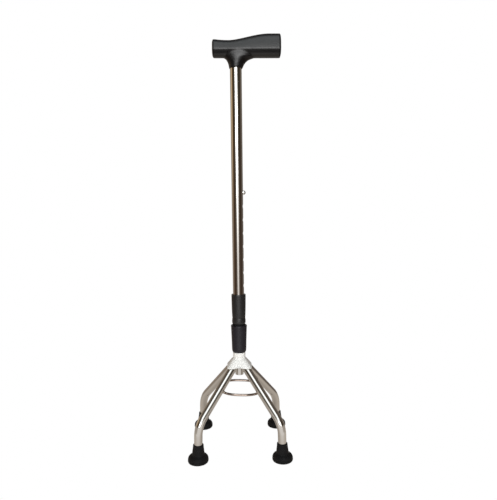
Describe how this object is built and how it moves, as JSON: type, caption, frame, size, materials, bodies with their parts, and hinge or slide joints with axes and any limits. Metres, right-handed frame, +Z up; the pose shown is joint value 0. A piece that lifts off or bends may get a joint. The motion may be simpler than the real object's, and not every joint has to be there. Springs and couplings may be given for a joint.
{
  "type": "quad walking cane",
  "caption": "Height-adjustable walking cane with a moulded T handle, a telescopic steel shaft with snap button and lock nut, and a base of splayed legs with rubber feet.",
  "frame": {"origin": "on the floor, at the centre of the four soles, under the shaft axis", "axes": "+Z up along the shaft; +X along the handle towards its long end, the side the snap button faces; +Y across the handle, away from the front legs"},
  "size_m": [0.195, 0.1852, 0.7706],
  "materials": {
    "handle_plastic": "fine satin moulded surface",
    "cap_plastic": "satin moulded surface",
    "collar_plastic": "satin moulded surface",
    "nut_plastic": "satin moulded surface",
    "outer_tube_steel": "polished",
    "inner_tube_steel": "polished",
    "leg_steel": "polished",
    "ring_steel": "polished, with weld beads",
    "hub_plastic": "semi-gloss off-white moulding",
    "foot_rubber": "moulded black rubber",
    "guide_nylon": "natural nylon",
    "plug_plastic": "black moulding",
    "button_steel": "polished",
    "spring_steel": "tempered strip",
    "washer_steel": "zinc plated",
    "screw_steel": "zinc plated"
  },
  "bodies": {
    "base": {"inner_tube": "inner_tube_steel", "inner_tube_guide": "guide_nylon", "inner_tube_plug": "plug_plastic", "hub_cover": "hub_plastic", "brace_ring": "ring_steel", "leg_front_left": "leg_steel", "leg_front_right": "leg_steel", "leg_rear_left": "leg_steel", "leg_rear_right": "leg_steel", "foot_front_left": "foot_rubber", "foot_front_right": "foot_rubber", "foot_rear_left": "foot_rubber", "foot_rear_right": "foot_rubber", "foot_washer_front_left": "washer_steel", "foot_washer_front_right": "washer_steel", "foot_washer_rear_left": "washer_steel", "foot_washer_rear_right": "washer_steel", "button_spring": "spring_steel"},
    "upper": {"upper_tube": "outer_tube_steel", "collar_sleeve": "collar_plastic", "handle_grip": "handle_plastic", "handle_end_cap": "cap_plastic", "handle_screw": "screw_steel"},
    "lock_nut": {"lock_nut": "nut_plastic"},
    "button": {"snap_button": "button_steel"}
  },
  "joints": [
    {"name": "height_slide", "type": "slide", "parent": "base", "child": "upper", "axis": [0, 0, 1], "range_m": [0, 0.175], "deforming": ["snap_button", "button_spring"]},
    {"name": "lock_nut_turn", "type": "hinge", "parent": "upper", "child": "lock_nut", "pos_m": [0, 0, 0.2415], "axis": [0, 0, 1], "range_deg": [-360, 0]},
    {"name": "button_press", "type": "slide", "parent": "base", "child": "button", "axis": [-1, 0, 0], "range_m": [0, 0.0055], "stiffness_N_per_m": 1500, "springref_m": -0.003, "deforming": ["button_spring"]}
  ]
}
